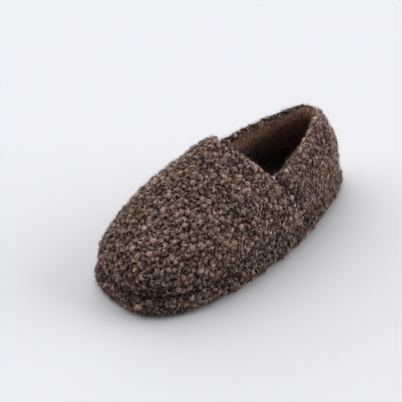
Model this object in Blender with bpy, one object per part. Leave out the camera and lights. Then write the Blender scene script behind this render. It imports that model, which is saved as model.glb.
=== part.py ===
"""Fluffy house slipper, left foot: a pile-fabric upper sewn to a fabric-covered foam platform.

Toe towards -Y, heel towards +Y, outer side of the foot towards +X, standing on Z = 0.
Every place on the upper is a station S round the plan outline (0 at the toe tip, pi at the
heel back), a side (+1 outer, -1 inner) and a rise PHI (0 at the seam with the platform,
pi/2 on the ridge over the instep). Each layer of the upper is the same surface, set inwards.
"""
import math

import bmesh
import bpy
import numpy as np

# Overall shape, in metres. Triples are the values at the toe, the middle and the heel.
LENGTH = 0.270                          # along the seam between upper and platform
OUTER_WIDTH = (0.0766, 0.0610, 0.0383)  # reach of the outline to the outer side
INNER_WIDTH = (0.0502, 0.0487, 0.0422)  # and to the inner side
TOE_POWER, HEEL_POWER = 0.66, 0.80      # how square the outline is at each end
RIDGE_RISE = (0.043, 0.077, 0.077)      # ridge above the seam
HEEL_RISE_EXTRA = 0.012                 # and more behind the middle, where the upper is open
TOE_REACH, HEEL_REACH = 0.033, 0.0635   # from each end of the outline to the end of the ridge
RIDGE_X = -0.0106                       # the ridge leans to the inner side
COLLAR_SPREAD = 0.011                   # the collar stands out by this on the outer side
HEEL_SPREAD = 0.0022                    # and by this at the back
SPREAD_STATIONS = (1.6, 2.1, 2.5)       # where the first starts, is full, and turns into the second
ARCH_POWER = 1.06                       # fullness of a section across the upper
HEEL_HOLLOW = 0.06                      # the heel leans in, by this share of its reach
HEEL_STATION = 2.0                      # and from this station on
TOE_BLEND = 6                           # how late the toe cap turns up into the ridge
SEAM_Z = 0.018                          # height of the seam between upper and platform

# Edges of the panels, as stations and heights
SIDE_SEAM_FOOT = 1.89                   # station of the side seam at the platform
THROAT_CORNER = 1.72                    # station where side seam and throat meet
THROAT_MIDDLE = 1.66                    # station of the throat on the ridge
THROAT_DIP = 0.03                       # the throat runs this much nearer the toe between
CORNER_Z = 0.071                        # height of the topline there
HEEL_TOP_Z = 0.089                      # and at the heel
COLLAR_POWER = 0.9                      # how the topline climbs between them

# Layers of the upper
PILE_THICK = 0.0050
PADDING_THICK = 0.0020
LINING_THICK = 0.0025
GAP = 0.0003                            # clearance between neighbouring pieces
ROLL_CLEAR_SHARE = 0.08                 # of a step, between the roll and the layers under it
SEAM_GAP = 0.0014                       # between panels, where the sewing thread lies
ROLL_SHARE = 0.07                       # top of a rear panel that is rolled over the padding
THROAT_ROLL_SHARE = 0.04                # and the same at the throat of the vamp

# Platform, all as heights above the floor or insets from the seam outline
BAND_FOOT_Z = 0.0008
BAND_BULGE = 0.0036
BAND_THICK = 0.0050
BAND_LOW = 0.25                         # the band already stands out at its foot
BAND_WALL_STEPS = 6
FLANGE_THICK = 0.0015
FLANGE_INSET = 0.0150
OUTSOLE_THICK = 0.0030
OUTSOLE_INSET = 0.0065
PLATFORM_TOP_Z = 0.0153
BOARD_THICK = 0.0012
FOOTBED_THICK = 0.0040
SOCK_THICK = 0.0025
FOOTBED_INSET = 0.0108
SOCK_INSET = 0.0114

# Heel counter and sewing thread
COUNTER_STATION = 2.45                  # front edge of the counter
COUNTER_RISE = 0.55                     # its height as a share of the quarter
THREAD_RADIUS = 0.00035
THREAD_DEPTH = 0.0025                   # thread below the pile's surface
ROLL_SEAM_SHARE = 0.25                  # where in the roll the collar's thread runs
ROLL_SEAM_INSET = 0.0012                # and how far outside the lining's inner face

# Tread
TREAD_PITCH = 0.0140
TREAD_WIDTH = 0.0040
TREAD_DEPTH = 0.0010
TREAD_BOW = 0.0090
TREAD_MARGIN = 0.0160

# Mesh steps
TOE_STEPS = 14
LOW_STEPS, HIGH_STEPS = 5, 5
QUARTER_STEPS, QUARTER_RISE_STEPS = 14, 8
OUTLINE_STEPS = 32
TREAD_STEPS = 6
CENTRE_SAMPLES = 720
NORMAL_STEP = 0.004                     # in station and rise, for a surface's direction
RIDGE_BAND = 0.03                       # rise next to the ridge where both sides are averaged
PI = math.pi


def blend3(c, values):
    """A parabola through values at c = 1 (toe), 0 (middle) and -1 (heel)."""
    toe, middle, heel = values
    return middle + (toe - heel) / 2 * c + ((toe + heel) / 2 - middle) * c * c


def smooth(x, start, end):
    t = np.clip((x - start) / (end - start), 0, 1)
    return t * t * (3 - 2 * t)


def outline(s, side):
    """Plan outline of the seam, before centring."""
    c, towards_toe = np.cos(s), (1 + np.cos(s)) / 2
    power = TOE_POWER * towards_toe + HEEL_POWER * (1 - towards_toe)
    width = np.where(side > 0, blend3(c, OUTER_WIDTH), blend3(c, INNER_WIDTH))
    return side * np.clip(np.sin(s), 0, 1) ** power * width, -LENGTH / 2 * c


def centre_x():
    """Middle of the outline's width, which the origin goes under."""
    s = np.linspace(0, PI, CENTRE_SAMPLES + 1)
    return (outline(s, np.ones_like(s))[0].max() + outline(s, -np.ones_like(s))[0].min()) / 2


CENTRE_X = centre_x()


def rise_along(c):
    return blend3(c, RIDGE_RISE) + HEEL_RISE_EXTRA * np.minimum(c, 0) ** 2


def ridge_rise(s):
    return rise_along(np.cos(s))


def collar_shift(s, side):
    """Sideways shift of the open rear part, which the foot spreads to the outer side."""
    start, full, end = SPREAD_STATIONS
    heel = smooth(s, end, PI)
    at_side = COLLAR_SPREAD * smooth(s, start, full) * (1 - heel)
    return HEEL_SPREAD * heel + np.where(side > 0, at_side, 0)


def upper(s, side, phi):
    """Outside of the upper; stations and rises past an end run on over the other side."""
    s, side, phi = np.broadcast_arrays(np.asarray(s, float), np.asarray(side, float),
                                       np.asarray(phi, float))
    over = phi > PI / 2
    side = np.where(over, -side, side)
    phi = np.where(over, PI - phi, phi)
    side = np.where((s < 0) | (s > PI), -side, side)
    s = np.where(s < 0, -s, np.where(s > PI, 2 * PI - s, s))
    x, y = outline(s, side)
    ridge_x = RIDGE_X + collar_shift(s, side)
    ridge_mid, ridge_share = (TOE_REACH - HEEL_REACH) / 2, 1 - (TOE_REACH + HEEL_REACH) / LENGTH
    ridge_y = ridge_mid + ridge_share * y
    inwards = 1 - np.clip(np.cos(phi), 0, 1) ** ARCH_POWER
    inwards = inwards + HEEL_HOLLOW * smooth(s, HEEL_STATION, PI) * np.sin(2 * phi)
    new_y = y + (ridge_y - y) * inwards
    rise = ridge_rise(s)
    own_rise = rise_along((ridge_mid - new_y) / (ridge_share * LENGTH / 2))
    rise = rise + (own_rise - rise) * np.sin(phi) ** TOE_BLEND
    return np.stack([x + (ridge_x - x) * inwards - CENTRE_X, new_y,
                     SEAM_Z + rise * np.sin(phi)], -1)


def one_normal(s, side, phi):
    along = upper(s + NORMAL_STEP, side, phi) - upper(s - NORMAL_STEP, side, phi)
    up = upper(s, side, phi + NORMAL_STEP) - upper(s, side, phi - NORMAL_STEP)
    normal = np.cross(along, up) * np.asarray(side)[..., None]
    return normal / np.linalg.norm(normal, axis=-1, keepdims=True)


def upper_normal(s, side, phi):
    """Outward normal; both sides are averaged on the ridge, where they meet."""
    below = np.minimum(phi, PI / 2 - RIDGE_BAND)
    normal = one_normal(s, side, below)
    on_ridge = (phi > PI / 2 - RIDGE_BAND)[..., None]
    normal = np.where(on_ridge, normal + one_normal(s, -side, below), normal)
    return normal / np.linalg.norm(normal, axis=-1, keepdims=True)


def rise_at(s, z):
    return np.arcsin(np.clip((z - SEAM_Z) / ridge_rise(s), 0, 1))


def topline_z(s):
    t = np.clip((s - THROAT_CORNER) / (PI - THROAT_CORNER), 0, 1)
    return CORNER_Z + (HEEL_TOP_Z - CORNER_Z) * np.sin(t * PI / 2) ** COLLAR_POWER


CORNER_RISE = float(rise_at(THROAT_CORNER, CORNER_Z))
SEAM_HALF = SEAM_GAP / LENGTH           # half the seam gap, as a step of the station


def side_seam(phi):
    return SIDE_SEAM_FOOT + (THROAT_CORNER - SIDE_SEAM_FOOT) * phi / CORNER_RISE


def steps_to_roll(count, roll_share):
    """Even steps up to the roll, and one more over it."""
    return np.append(np.linspace(0, 1 - roll_share, count), 1)[:, None]


def vamp_grid():
    """Stations, sides and rises of the front panel, from the toe to the seams and throat."""
    low = np.linspace(0, CORNER_RISE, LOW_STEPS + 1)
    high = np.linspace(CORNER_RISE, PI / 2, HIGH_STEPS + 1)
    half = np.concatenate([low, high[1:]])
    phi = np.concatenate([half, half[-2::-1]])
    side = np.where(np.arange(len(phi)) < len(half), 1.0, -1.0)
    share = (phi - CORNER_RISE) / (PI / 2 - CORNER_RISE)
    throat = THROAT_CORNER + (THROAT_MIDDLE - THROAT_CORNER) * share
    throat = throat - THROAT_DIP * np.sin(PI * np.clip(share, 0, 1))
    rear = np.where(phi <= CORNER_RISE, side_seam(phi), throat) - SEAM_HALF
    rows = steps_to_roll(TOE_STEPS, THROAT_ROLL_SHARE)
    return rows * rear, np.broadcast_to(side, (TOE_STEPS + 1, len(phi))), phi + rows * 0


def quarter_grid(side):
    """The same for one rear panel: rows climb to the topline, columns run to the heel."""
    t = np.linspace(0, 1, QUARTER_STEPS + 1)[None, :]
    r = steps_to_roll(QUARTER_RISE_STEPS, ROLL_SHARE)
    top_station = THROAT_CORNER * (1 - t) + PI * t
    front = side_seam(r * CORNER_RISE) + SEAM_HALF
    phi = r * rise_at(top_station, topline_z(top_station))
    s = front * (1 - t) + PI * t
    return s, side + 0 * s, phi


def layer(grid, depth):
    """Points of a grid, set inwards by a depth, which may differ from point to point."""
    s, side, phi = grid
    return upper(s, side, phi) - upper_normal(s, side, phi) * np.asarray(depth)[..., None]


def open_heel_seam(points, grid):
    """Keeps a rear panel's last column clear of the other side's at the heel seam."""
    s, side, phi = [a[:, -1] for a in grid]
    points = points.copy()
    points[:, -1, 0] = upper(s, side, phi)[:, 0] + side * SEAM_GAP / 2
    return points


# ---------------------------------------------------------------- meshes and materials

def material(name, colour, roughness):
    mat = bpy.data.materials.new(name)
    mat.use_nodes = True
    shader = mat.node_tree.nodes["Principled BSDF"]
    shader.inputs["Base Color"].default_value = (*colour, 1)
    shader.inputs["Roughness"].default_value = roughness
    shader.inputs["Metallic"].default_value = 0
    mat.diffuse_color = (*colour, 1)
    return mat


def place(name, data, mat):
    obj = bpy.data.objects.new(name, data)
    bpy.context.scene.collection.objects.link(obj)
    obj.parent = bpy.data.objects["slipper"]
    data.materials.append(mat)
    return obj


def place_mesh(name, bm, mat):
    bmesh.ops.recalc_face_normals(bm, faces=bm.faces)
    mesh = bpy.data.meshes.new(name)
    bm.to_mesh(mesh)
    bm.free()
    mesh.shade_smooth()
    mesh.set_sharp_from_angle(angle=math.radians(40))
    return place(name, mesh, mat)


def sheet_solid(name, outside, inside, mat, folded=False, cells=None):
    """Closed sheet between two grids of points. A folded grid is doubled up on its first
    row, which is then one line of points; cells says which of its squares are there."""
    rows, columns = outside.shape[:2]
    if cells is None:
        cells = np.ones((rows - 1, columns - 1), bool)
    bm = bmesh.new()
    skins = {}

    def vert(skin, i, j):
        if folded and i == 0:
            j = min(j, columns - 1 - j)
        if (skin, i, j) not in skins:
            skins[skin, i, j] = bm.verts.new((outside, inside)[skin][i, j])
        return skins[skin, i, j]

    rim = {}
    for i, j in zip(*np.nonzero(cells)):
        corners = [(i, j), (i + 1, j), (i + 1, j + 1), (i, j + 1)]
        bm.faces.new([vert(0, *k) for k in corners])
        bm.faces.new([vert(1, *k) for k in reversed(corners)])
        for a, b in zip(corners, corners[1:] + corners[:1]):
            key = frozenset((vert(0, *a), vert(0, *b)))
            if rim.pop(key, None) is None:
                rim[key] = (a, b)
    for a, b in rim.values():
        bm.faces.new([vert(0, *b), vert(0, *a), vert(1, *a), vert(1, *b)])
    return place_mesh(name, bm, mat)


def plan_loop(inset, z):
    """A level loop round the platform, set in from the seam outline."""
    s = np.concatenate([np.linspace(0, PI, OUTLINE_STEPS + 1)[:-1],
                        np.linspace(PI, 0, OUTLINE_STEPS + 1)[:-1]])
    side = np.repeat([1.0, -1.0], OUTLINE_STEPS)
    point = upper(s, side, 0 * s)
    normal = upper_normal(s, side, 0 * s)
    normal[:, 2] = 0
    normal /= np.linalg.norm(normal, axis=1, keepdims=True)
    point = point - normal * inset
    point[:, 2] = z
    return point


def loop_solid(name, section, mat, ring=False):
    """Solid through level loops at (inset, height) pairs; a ring's section is a closed
    outline, and any other solid is capped at its first and last loop."""
    bm = bmesh.new()
    loops = [[bm.verts.new(p) for p in plan_loop(inset, z)] for inset, z in section]
    pairs = list(zip(loops, loops[1:] + loops[:1])) if ring else list(zip(loops, loops[1:]))
    for a, b in pairs:
        for k in range(len(a)):
            n = (k + 1) % len(a)
            bm.faces.new([a[k], a[n], b[n], b[k]])
    if not ring:
        bm.faces.new(loops[0])
        bm.faces.new(loops[-1])
    return place_mesh(name, bm, mat)


def thread(name, points, mat, closed=False):
    curve = bpy.data.curves.new(name, "CURVE")
    curve.dimensions = "3D"
    curve.bevel_depth = THREAD_RADIUS
    curve.bevel_resolution = 1
    curve.use_fill_caps = True
    spline = curve.splines.new("POLY")
    spline.points.add(len(points) - 1)
    for target, point in zip(spline.points, points):
        target.co = (*point, 1)
    spline.use_cyclic_u = closed
    return place(name, curve, mat)


# ---------------------------------------------------------------- the upper

PADDING_DEPTH = PILE_THICK + GAP
LINING_DEPTH = PADDING_DEPTH + PADDING_THICK + GAP
INSIDE_DEPTH = LINING_DEPTH + LINING_THICK


def below_roll(shape):
    """The squares of a grid that are below its rolled last row."""
    cells = np.ones((shape[0] - 1, shape[1] - 1), bool)
    cells[-1] = False
    return cells


def pull_back(grid):
    """Draws the row under the roll back, clear of the pile that turns over it."""
    s, side, phi = [a.copy() for a in grid]
    s[-2] += (s[-3] - s[-2]) * ROLL_CLEAR_SHARE
    phi[-2] += (phi[-3] - phi[-2]) * ROLL_CLEAR_SHARE
    return s, side, phi


def vamp(pile, foam, plush):
    grid = vamp_grid()
    shape = grid[0].shape
    at_throat = (np.arange(shape[0])[:, None] == shape[0] - 1) & (grid[2] > CORNER_RISE + 1e-6)
    back = np.where(at_throat, INSIDE_DEPTH, PILE_THICK)
    sheet_solid("vamp_outer", layer(grid, np.zeros(shape)), layer(grid, back), pile, True)
    inner = pull_back(grid)
    cells = below_roll(shape)
    sheet_solid("vamp_padding", layer(inner, np.full(shape, PADDING_DEPTH)),
                layer(inner, np.full(shape, PADDING_DEPTH + PADDING_THICK)), foam, True, cells)
    beside_seam = grid[2][-1] <= CORNER_RISE + 1e-6
    cells[-1] = beside_seam[:-1] & beside_seam[1:]
    sheet_solid("vamp_lining", layer(inner, np.full(shape, LINING_DEPTH)),
                layer(inner, np.full(shape, INSIDE_DEPTH)), plush, True, cells)


def quarter(label, side, pile, foam, plush):
    grid = quarter_grid(side)
    shape = grid[0].shape

    def face(depth, lines):
        return open_heel_seam(layer(lines, depth), lines)

    roll = np.arange(shape[0])[:, None] == shape[0] - 1
    back = np.where(roll, INSIDE_DEPTH, PILE_THICK) + np.zeros(shape)
    sheet_solid("quarter_outer_" + label, face(np.zeros(shape), grid), face(back, grid), pile)
    inner = pull_back(grid)
    counter_column = int(np.argmax(grid[0][0] >= COUNTER_STATION))
    counter_row = round(QUARTER_RISE_STEPS * COUNTER_RISE)
    cells = below_roll(shape)
    sheet_solid("quarter_lining_" + label, face(np.full(shape, LINING_DEPTH), inner),
                face(np.full(shape, INSIDE_DEPTH), inner), plush, cells=cells)
    cells[:counter_row + 1, counter_column - 1:] = False
    sheet_solid("quarter_padding_" + label, face(np.full(shape, PADDING_DEPTH), inner),
                face(np.full(shape, PADDING_DEPTH + PADDING_THICK), inner), foam, cells=cells)
    return counter_column, counter_row


def heel_counter(column, row, board):
    """One moulded stiffener round the back of the heel, between pile and lining."""
    outer, inner = quarter_grid(1.0), quarter_grid(-1.0)
    whole = [np.concatenate([a[:row + 1, column:], b[:row + 1, -2:column - 1:-1]], axis=1)
             for a, b in zip(outer, inner)]
    shape = whole[0].shape
    sheet_solid("heel_counter", layer(whole, np.full(shape, PADDING_DEPTH)),
                layer(whole, np.full(shape, PADDING_DEPTH + PADDING_THICK)), board)


# ---------------------------------------------------------------- the platform

def band_profile():
    """Section of the fluffy band: up its bulging face, and down inside to the flange."""
    top = SEAM_Z - SEAM_GAP
    rise = np.linspace(0, 1, BAND_WALL_STEPS + 1)
    bulge = BAND_BULGE * np.sin(PI * (BAND_LOW + (1 - BAND_LOW) * rise))
    face = [(-b, BAND_FOOT_Z + (top - BAND_FOOT_Z) * r) for b, r in zip(bulge, rise)]
    flange_z = OUTSOLE_THICK + GAP
    wall = BAND_THICK
    return face + [(wall, top), (wall - BAND_BULGE / 2, (top + flange_z) / 2),
                   (wall, flange_z + FLANGE_THICK), (FLANGE_INSET, flange_z + FLANGE_THICK),
                   (FLANGE_INSET, flange_z), (OUTSOLE_INSET - 2 * GAP, flange_z),
                   (OUTSOLE_INSET - 2 * GAP, BAND_FOOT_Z)]


def platform_profile():
    """The foam fills the band's inside and steps down between its turned-in edges."""
    step_z = OUTSOLE_THICK + 2 * GAP + FLANGE_THICK
    wall = BAND_THICK + GAP
    return [(FLANGE_INSET + GAP, OUTSOLE_THICK + GAP), (FLANGE_INSET + GAP, step_z),
            (wall, step_z), (wall, PLATFORM_TOP_Z)]


def slab(name, inset, bottom, thickness, mat):
    return loop_solid(name, [(inset, bottom), (inset, bottom + thickness)], mat)


def tread_cutter():
    """Bowed grooves across the outsole, as one cutting body for each."""
    bm = bmesh.new()
    count = int((LENGTH / 2 - TREAD_MARGIN) // TREAD_PITCH)
    for k in range(-count, count + 1):
        y = k * TREAD_PITCH
        s = math.acos(-y / (LENGTH / 2))
        left = upper(s, -1.0, 0.0)[0] + TREAD_MARGIN
        right = upper(s, 1.0, 0.0)[0] - TREAD_MARGIN
        lines = []
        for edge_y in (-TREAD_WIDTH / 2, TREAD_WIDTH / 2):
            for z in (-TREAD_DEPTH, TREAD_DEPTH):
                t = np.linspace(-1, 1, TREAD_STEPS + 1)
                x = (left + right) / 2 + (right - left) / 2 * t
                bowed = y + edge_y + TREAD_BOW * (t * t - 0.5)
                lines.append([bm.verts.new((a, b, z)) for a, b in zip(x, bowed)])
        front_low, front_high, back_low, back_high = lines
        section = [front_low, back_low, back_high, front_high]
        for a, b in zip(section, section[1:] + section[:1]):
            for m in range(len(a) - 1):
                bm.faces.new([a[m], a[m + 1], b[m + 1], b[m]])
        bm.faces.new([line[0] for line in section])
        bm.faces.new([line[-1] for line in section])
    return bm


def outsole(mat):
    sole = slab("outsole", OUTSOLE_INSET, 0, OUTSOLE_THICK, mat)
    cutter = place_mesh("tread_cutter", tread_cutter(), mat)
    cutter.hide_render = True
    cutter.display_type = "WIRE"
    cut = sole.modifiers.new("tread", "BOOLEAN")
    cut.operation = "DIFFERENCE"
    cut.solver = "EXACT"
    cut.object = cutter
    return sole


def platform(pile, foam, board, sock_foam, plush, rubber):
    loop_solid("platform_cover", band_profile(), pile, ring=True)
    loop_solid("platform_foam", platform_profile(), foam)
    outsole(rubber)
    z = PLATFORM_TOP_Z + GAP
    slab("insole_board", BAND_THICK + GAP, z, BOARD_THICK, board)
    z += BOARD_THICK + GAP
    slab("footbed_foam", FOOTBED_INSET, z, FOOTBED_THICK, sock_foam)
    z += FOOTBED_THICK + GAP
    slab("sock_lining", SOCK_INSET, z, SOCK_THICK, plush)


# ---------------------------------------------------------------- sewing

def roll_seam(grid):
    """The line under a rolled edge where the pile is sewn to the lining."""
    line = [a[-2] + (a[-1] - a[-2]) * ROLL_SEAM_SHARE for a in grid]
    return layer(line, np.full(line[0].shape, INSIDE_DEPTH - ROLL_SEAM_INSET))


def seams(mat):
    middle = THREAD_DEPTH
    phi = np.linspace(0, CORNER_RISE, LOW_STEPS + 1)[:-1]
    for label, side in (("lateral", 1.0), ("medial", -1.0)):
        grid = (side_seam(phi), side + 0 * phi, phi)
        thread("side_seam_thread_" + label, layer(grid, np.full(phi.shape, middle)), mat)
    s, side, phi = quarter_grid(1.0)
    back = (s[:-1, -1], side[:-1, -1], phi[:-1, -1])
    points = layer(back, np.full(back[0].shape, middle))
    thread("heel_seam_thread", points, mat)
    feather = plan_loop(middle, SEAM_Z - SEAM_GAP / 2)
    thread("platform_seam_thread", feather, mat, closed=True)
    lines = [roll_seam(quarter_grid(side)) for side in (1.0, -1.0)]
    thread("collar_seam_thread", np.concatenate([lines[0], lines[1][-2::-1]]), mat)
    throat = vamp_grid()[2][-1] > CORNER_RISE + 1e-6
    thread("throat_seam_thread", roll_seam(vamp_grid())[throat], mat)


def main():
    for old in list(bpy.data.objects):
        bpy.data.objects.remove(old, do_unlink=True)
    root = bpy.data.objects.new("slipper", None)
    bpy.context.scene.collection.objects.link(root)
    pile = material("curly_pile", (0.085, 0.060, 0.045), 0.95)
    plush = material("plush_lining", (0.055, 0.028, 0.018), 0.95)
    foam = material("interlining_foam", (0.80, 0.78, 0.70), 0.9)
    platform_foam = material("platform_foam", (0.12, 0.12, 0.12), 0.85)
    footbed = material("footbed_foam", (0.75, 0.72, 0.62), 0.9)
    board = material("fibre_board", (0.35, 0.27, 0.18), 0.8)
    rubber = material("outsole_rubber", (0.035, 0.028, 0.024), 0.7)
    sewing = material("sewing_thread", (0.030, 0.020, 0.016), 0.6)
    vamp(pile, foam, plush)
    for label, side in (("lateral", 1.0), ("medial", -1.0)):
        column, row = quarter(label, side, pile, foam, plush)
    heel_counter(column, row, board)
    platform(pile, platform_foam, board, footbed, plush, rubber)
    seams(sewing)


main()
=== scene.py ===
"""Looks of the fluffy house slipper: curled pile, plush lining and the layers inside.

The upper is described as in its CAD design: a station S round the plan outline (0 at the toe
tip, pi at the heel back), a side (+1 outer, -1 inner) and a rise PHI (0 at the seam with the
platform, pi/2 on the ridge). Depths are measured inwards from the face of the CAD upper.
"""

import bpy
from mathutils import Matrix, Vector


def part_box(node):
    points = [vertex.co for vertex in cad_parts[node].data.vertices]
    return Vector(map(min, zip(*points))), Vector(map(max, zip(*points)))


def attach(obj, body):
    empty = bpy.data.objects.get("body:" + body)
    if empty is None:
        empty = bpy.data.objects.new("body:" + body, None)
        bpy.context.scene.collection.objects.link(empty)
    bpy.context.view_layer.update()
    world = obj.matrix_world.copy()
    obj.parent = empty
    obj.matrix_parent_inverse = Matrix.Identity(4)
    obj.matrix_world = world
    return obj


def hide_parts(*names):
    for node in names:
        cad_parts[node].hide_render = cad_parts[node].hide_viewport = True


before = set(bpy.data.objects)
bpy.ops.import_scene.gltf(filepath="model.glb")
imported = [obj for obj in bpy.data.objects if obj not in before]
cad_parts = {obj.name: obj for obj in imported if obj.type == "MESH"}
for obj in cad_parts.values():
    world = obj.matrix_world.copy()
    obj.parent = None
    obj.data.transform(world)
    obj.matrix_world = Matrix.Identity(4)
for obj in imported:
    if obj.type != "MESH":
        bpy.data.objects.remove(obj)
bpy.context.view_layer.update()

import math

import bmesh
import bpy
import numpy as np
from mathutils import Matrix, Vector
from mathutils.kdtree import KDTree

PI, SEED = math.pi, 7

# The CAD upper's driving sizes, in metres. Triples are the toe, the middle and the heel.
LENGTH = 0.270
OUTER_WIDTH = (0.0766, 0.0610, 0.0383)
INNER_WIDTH = (0.0502, 0.0487, 0.0422)
TOE_POWER, HEEL_POWER = 0.66, 0.80
RIDGE_RISE = (0.043, 0.077, 0.077)
HEEL_RISE_EXTRA = 0.012
TOE_REACH, HEEL_REACH = 0.033, 0.0635
RIDGE_X = -0.0106
COLLAR_SPREAD, HEEL_SPREAD = 0.011, 0.0022
SPREAD_STATIONS = (1.6, 2.1, 2.5)
ARCH_POWER = 1.06
HEEL_HOLLOW, HEEL_STATION = 0.06, 2.0
TOE_BLEND = 6
SEAM_Z = 0.018
SIDE_SEAM_FOOT, THROAT_CORNER, THROAT_MIDDLE = 1.89, 1.72, 1.66
THROAT_DIP = 0.03
CORNER_Z, HEEL_TOP_Z, COLLAR_POWER = 0.071, 0.089, 0.9
BAND_BULGE, BAND_LOW = 0.0036, 0.25
CENTRE_SAMPLES = 720
NORMAL_STEP, RIDGE_BAND = 0.004, 0.03

# Layers, as depths from the CAD face
PILE_BACK = 0.0050
PADDING = (0.0053, 0.0073)
LINING = (0.0076, 0.0101)
ROLL_SHARE, THROAT_ROLL_SHARE = 0.07, 0.04
SEAM_HALF = 0.0007 / (LENGTH / 2)
HEEL_GAP = 0.0004              # half of the gap between the quarters at the heel

# Pile: the knitted ground's depth below the outer face, deeper still along a sewn edge
GROUND_DEPTH = 0.0028
SEAM_DIP, SEAM_DIP_WIDTH = 0.0012, 0.0030
FEATHER_DIP = 0.0016           # where the upper meets the band
CREASE_END = (0.8, 1.6)        # stations between which that crease fades
EDGE_PAINTED_LIGHT, EDGE_PAINTED_LIGHT_REACH = 0.55, 0.4     # painted light: the pile is painted lighter over a rolled edge
SEAM_BARE, SEAM_SMALL = 0.0007, 0.0055     # no curls, and smaller curls, beside a seam
LUMP_HEIGHT, LUMP_SIZE = 0.0008, 0.024
CLUMP_SPACING, CLUMP_HEIGHT, CLUMP_PULL = 0.0100, 0.0006, 0.12

# Rolled edges, by side: the ground's drop below the CAD edge, at the front and at the heel, and
# the share of the turn that carries curls, at the front
ROLL_DROP = {1.0: (0.0010, -0.0016), -1.0: (-0.0014, -0.0018)}
ROLL_END = {1.0: 0.82, -1.0: 0.97}
HEEL_ROLL_END, VAMP_ROLL_END = 0.57, 0.65
ROLL_STEPS = 14
THROAT_BLEND, THROAT_CLOSING = 0.12, 0.15  # rises past and before the opening's front corners
ONWARD, UPWARD = (0.01, 0), (0, 0.01)      # steps of (s, phi) past an edge

LOW_PAINTED_SHADE, LOW_Z = 0.19, (0.012, 0.045)     # painted shade: the pile is darker near the floor
KNOT_SPACING, TUFT_SPACING, EDGE_SPACING = 0.0043, 0.00225, 0.0017
KNOT_TILT, TUFT_TILT = 0.55, 0.5
# Locks of pile: strands, then in millimetres the reach, the height and a strand's width
KNOT = (12, (2.2, 3.2), (1.6, 2.3), 0.72)
TUFT = (6, (1.5, 2.2), (1.2, 1.8), 0.7)    # between the fat ones
RINGS, SIDES = 9, 4            # of one strand
HAIR_RINGS, HAIR_SIDES = 4, 3
# painted highlight: fine hairs carry a high strand value, which paints them lighter
KNOT_HAIRS, HAIR_PAINTED_HIGHLIGHT = 9, 0.9
HAIR_WIDTH, STRAY_LENGTH, TOP_LENGTH, TOP_START = 0.00011, 0.0020, 0.0026, 0.0020
POINTS_PER_HAIR = 6
SHAPES = 40                    # different knots, and different tufts
LOWEST_TUFT, PRESSED = 0.0003, 0.0026
# painted shade: the lining is darkened by this bluish factor low in the shoe, fading out up to the
# higher of these heights
DEEP_PAINTED_SHADE_Z, DEEP_PAINTED_SHADE = (0.032, 0.072), (0.34, 0.44, 0.62)
PLUSH_LENGTH, PLUSH_WIDTH, PLUSH_SPREAD = 0.0021, 0.00042, 0.45
PLUSH_WAVE, PLUSH_WAVE_SIZE = 0.0004, 0.012
SOCK_HAIRS, QUARTER_HAIRS, VAMP_HAIRS = 8000, 9000, 6000
PAINTED_RIM_SHADE_ROWS = (16, 9)            # painted shade: rows from the outer lining's end between which its plush is painted darker
LINING_ROWS, LINING_TAPER = 60, (54, 0.85)     # of the vamp's lining: thinner past that row
COLLAR_STEPS, COLLAR_TAPER = 11, 0.8
SOCK_ROWS = 16                 # rows of the sock's upper face, with the start of its rounding
BAND_FOOT_Z, BAND_TOP_Z = 0.0016, 0.0174
BAND_ROWS, BAND_COLUMNS = 21, 200          # columns on each side
BAND_TUCK = (0.0012, 0.0018)   # how far the foot of the band turns in, and over what height
MIDDLE = np.array([0.0, 0.0, 0.03])
FAR = 0.05                     # a distance from a seam at which it has no effect
SOCK_INSET, FOOTBED_INSET, BAND_THICK = 0.0114, 0.0108, 0.0053
SLAB_COLUMNS, SLAB_ROUNDING, SPINE_SHARE = 120, 0.3, 0.72
COUNTER_TOP = 0.55
PADDING_END, COUNTER_START = 38, 40        # columns of the quarter's grid
STITCH, STITCH_DEPTH, STITCH_WIDTH, STITCH_SINK = 0.0040, 0.0042, 0.0022, 0.0007
STITCH_POINTS, THREAD_RADIUS, THREAD_SIDES, COLLAR_THREAD_RISE = 7, 0.00035, 6, 0.0006
HALVES = (("lateral", 1.0), ("medial", -1.0))
SHARP_ANGLE = 50

# Stage
CAMERA_ANGLES = (50.19, 36.97, -0.32)      # azimuth, elevation, roll
CAMERA_DISTANCE, CAMERA_LENS = 0.655, 66.25
CAMERA_AIM = (-0.02369, -0.02204, 0.03248)
FLOOR_COLOUR = (155, 155, 158)
FLOOR_SIZE, FLOOR_Z = 40, -0.0004
SKY_COLOUR = (233, 234, 238)
SKY = ((0.0, 1.0), (0.08, 1.0), (0.25, 0.55), (0.45, 0.3), (1.0, 0.2))    # height, strength
SKY_SIDE, SKY_SHARES = (-0.77, 0.64, 0.0), (-0.5, 0.6)  # brighter side, least and most added
SKY_LEVEL = (0.08, 0.25)       # heights between which the brighter side starts to count
SUNS = (("back", (-0.1, 0.85, 0.7), 80, 2.0),           # direction, spread, power
        ("left", (-0.9, -0.15, 0.55), 110, 8.5),
        ("right", (0.50, 0.80, 0.35), 50, 4.4))


# ---------- surface of the upper

def blend3(c, values):
    """A parabola through values at c = 1 (toe), 0 (middle) and -1 (heel)."""
    toe, middle, heel = values
    return middle + (toe - heel) / 2 * c + ((toe + heel) / 2 - middle) * c * c


def smooth(x, start, end):
    t = np.clip((x - start) / (end - start), 0, 1)
    return t * t * (3 - 2 * t)


def outline(s, side):
    """Plan outline of the seam, before centring."""
    c, towards_toe = np.cos(s), (1 + np.cos(s)) / 2
    power = TOE_POWER * towards_toe + HEEL_POWER * (1 - towards_toe)
    width = np.where(side > 0, blend3(c, OUTER_WIDTH), blend3(c, INNER_WIDTH))
    return side * np.clip(np.sin(s), 0, 1) ** power * width, -LENGTH / 2 * c


def centre_x():
    s = np.linspace(0, PI, CENTRE_SAMPLES + 1)
    return (outline(s, np.ones_like(s))[0].max() + outline(s, -np.ones_like(s))[0].min()) / 2


CENTRE_X = centre_x()


def rise_along(c):
    return blend3(c, RIDGE_RISE) + HEEL_RISE_EXTRA * np.minimum(c, 0) ** 2


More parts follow.
